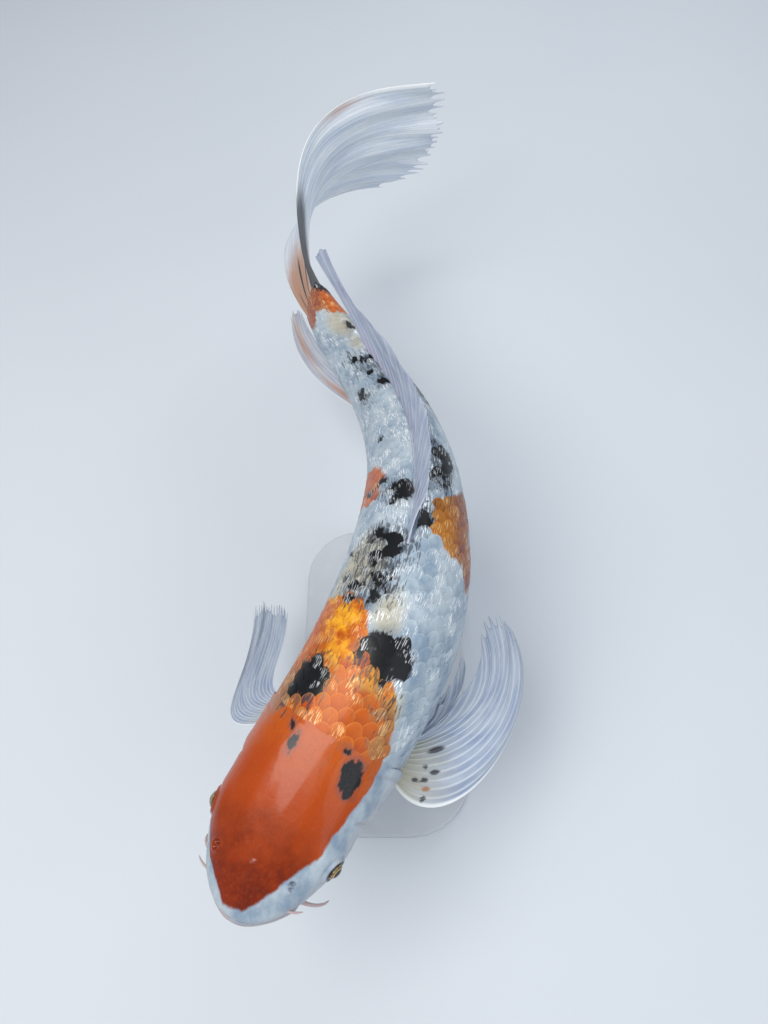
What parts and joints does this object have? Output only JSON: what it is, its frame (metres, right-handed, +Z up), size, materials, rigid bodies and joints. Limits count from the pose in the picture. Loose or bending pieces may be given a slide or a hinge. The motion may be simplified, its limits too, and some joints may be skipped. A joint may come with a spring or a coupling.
{
  "type": "koi carp model on display stand",
  "caption": "Still life-size model of a long-finned koi carp swimming in a gentle S, held by slim rods over a flat base.",
  "frame": {"origin": "centre of the stand base's underside, on the floor", "axes": "+Z up, the fish heads towards -Y with its tail towards +Y, and its left side is on +X"},
  "size_m": [0.1933, 0.611, 0.254],
  "materials": {
    "skin": "wet glossy fish skin and scales, white with orange-red head and black blotches",
    "lips": "smooth pale flesh",
    "fin": "thin milky translucent web with fine branched white rays",
    "eye": "black pupil in a thin golden ring under a clear cornea",
    "stand_base": "satin pale grey slab",
    "stand_rod": "brushed along the rod"
  },
  "bodies": {
    "root": {"head": "skin", "trunk_front": "skin", "trunk_rear": "skin", "tail_stalk": "skin", "lip_upper": "lips", "lip_lower": "lips", "barbel_corner_left": "lips", "barbel_corner_right": "lips", "barbel_lip_left": "lips", "barbel_lip_right": "lips", "fin_pectoral_left": "fin", "fin_pectoral_right": "fin", "fin_pelvic_left": "fin", "fin_pelvic_right": "fin", "fin_dorsal": "fin", "fin_anal": "fin", "fin_tail_upper": "fin", "fin_tail_lower": "fin", "eye_left": "eye", "eye_right": "eye", "stand_base": "stand_base", "stand_rod_front": "stand_rod", "stand_rod_rear": "stand_rod"}
  },
  "joints": []
}
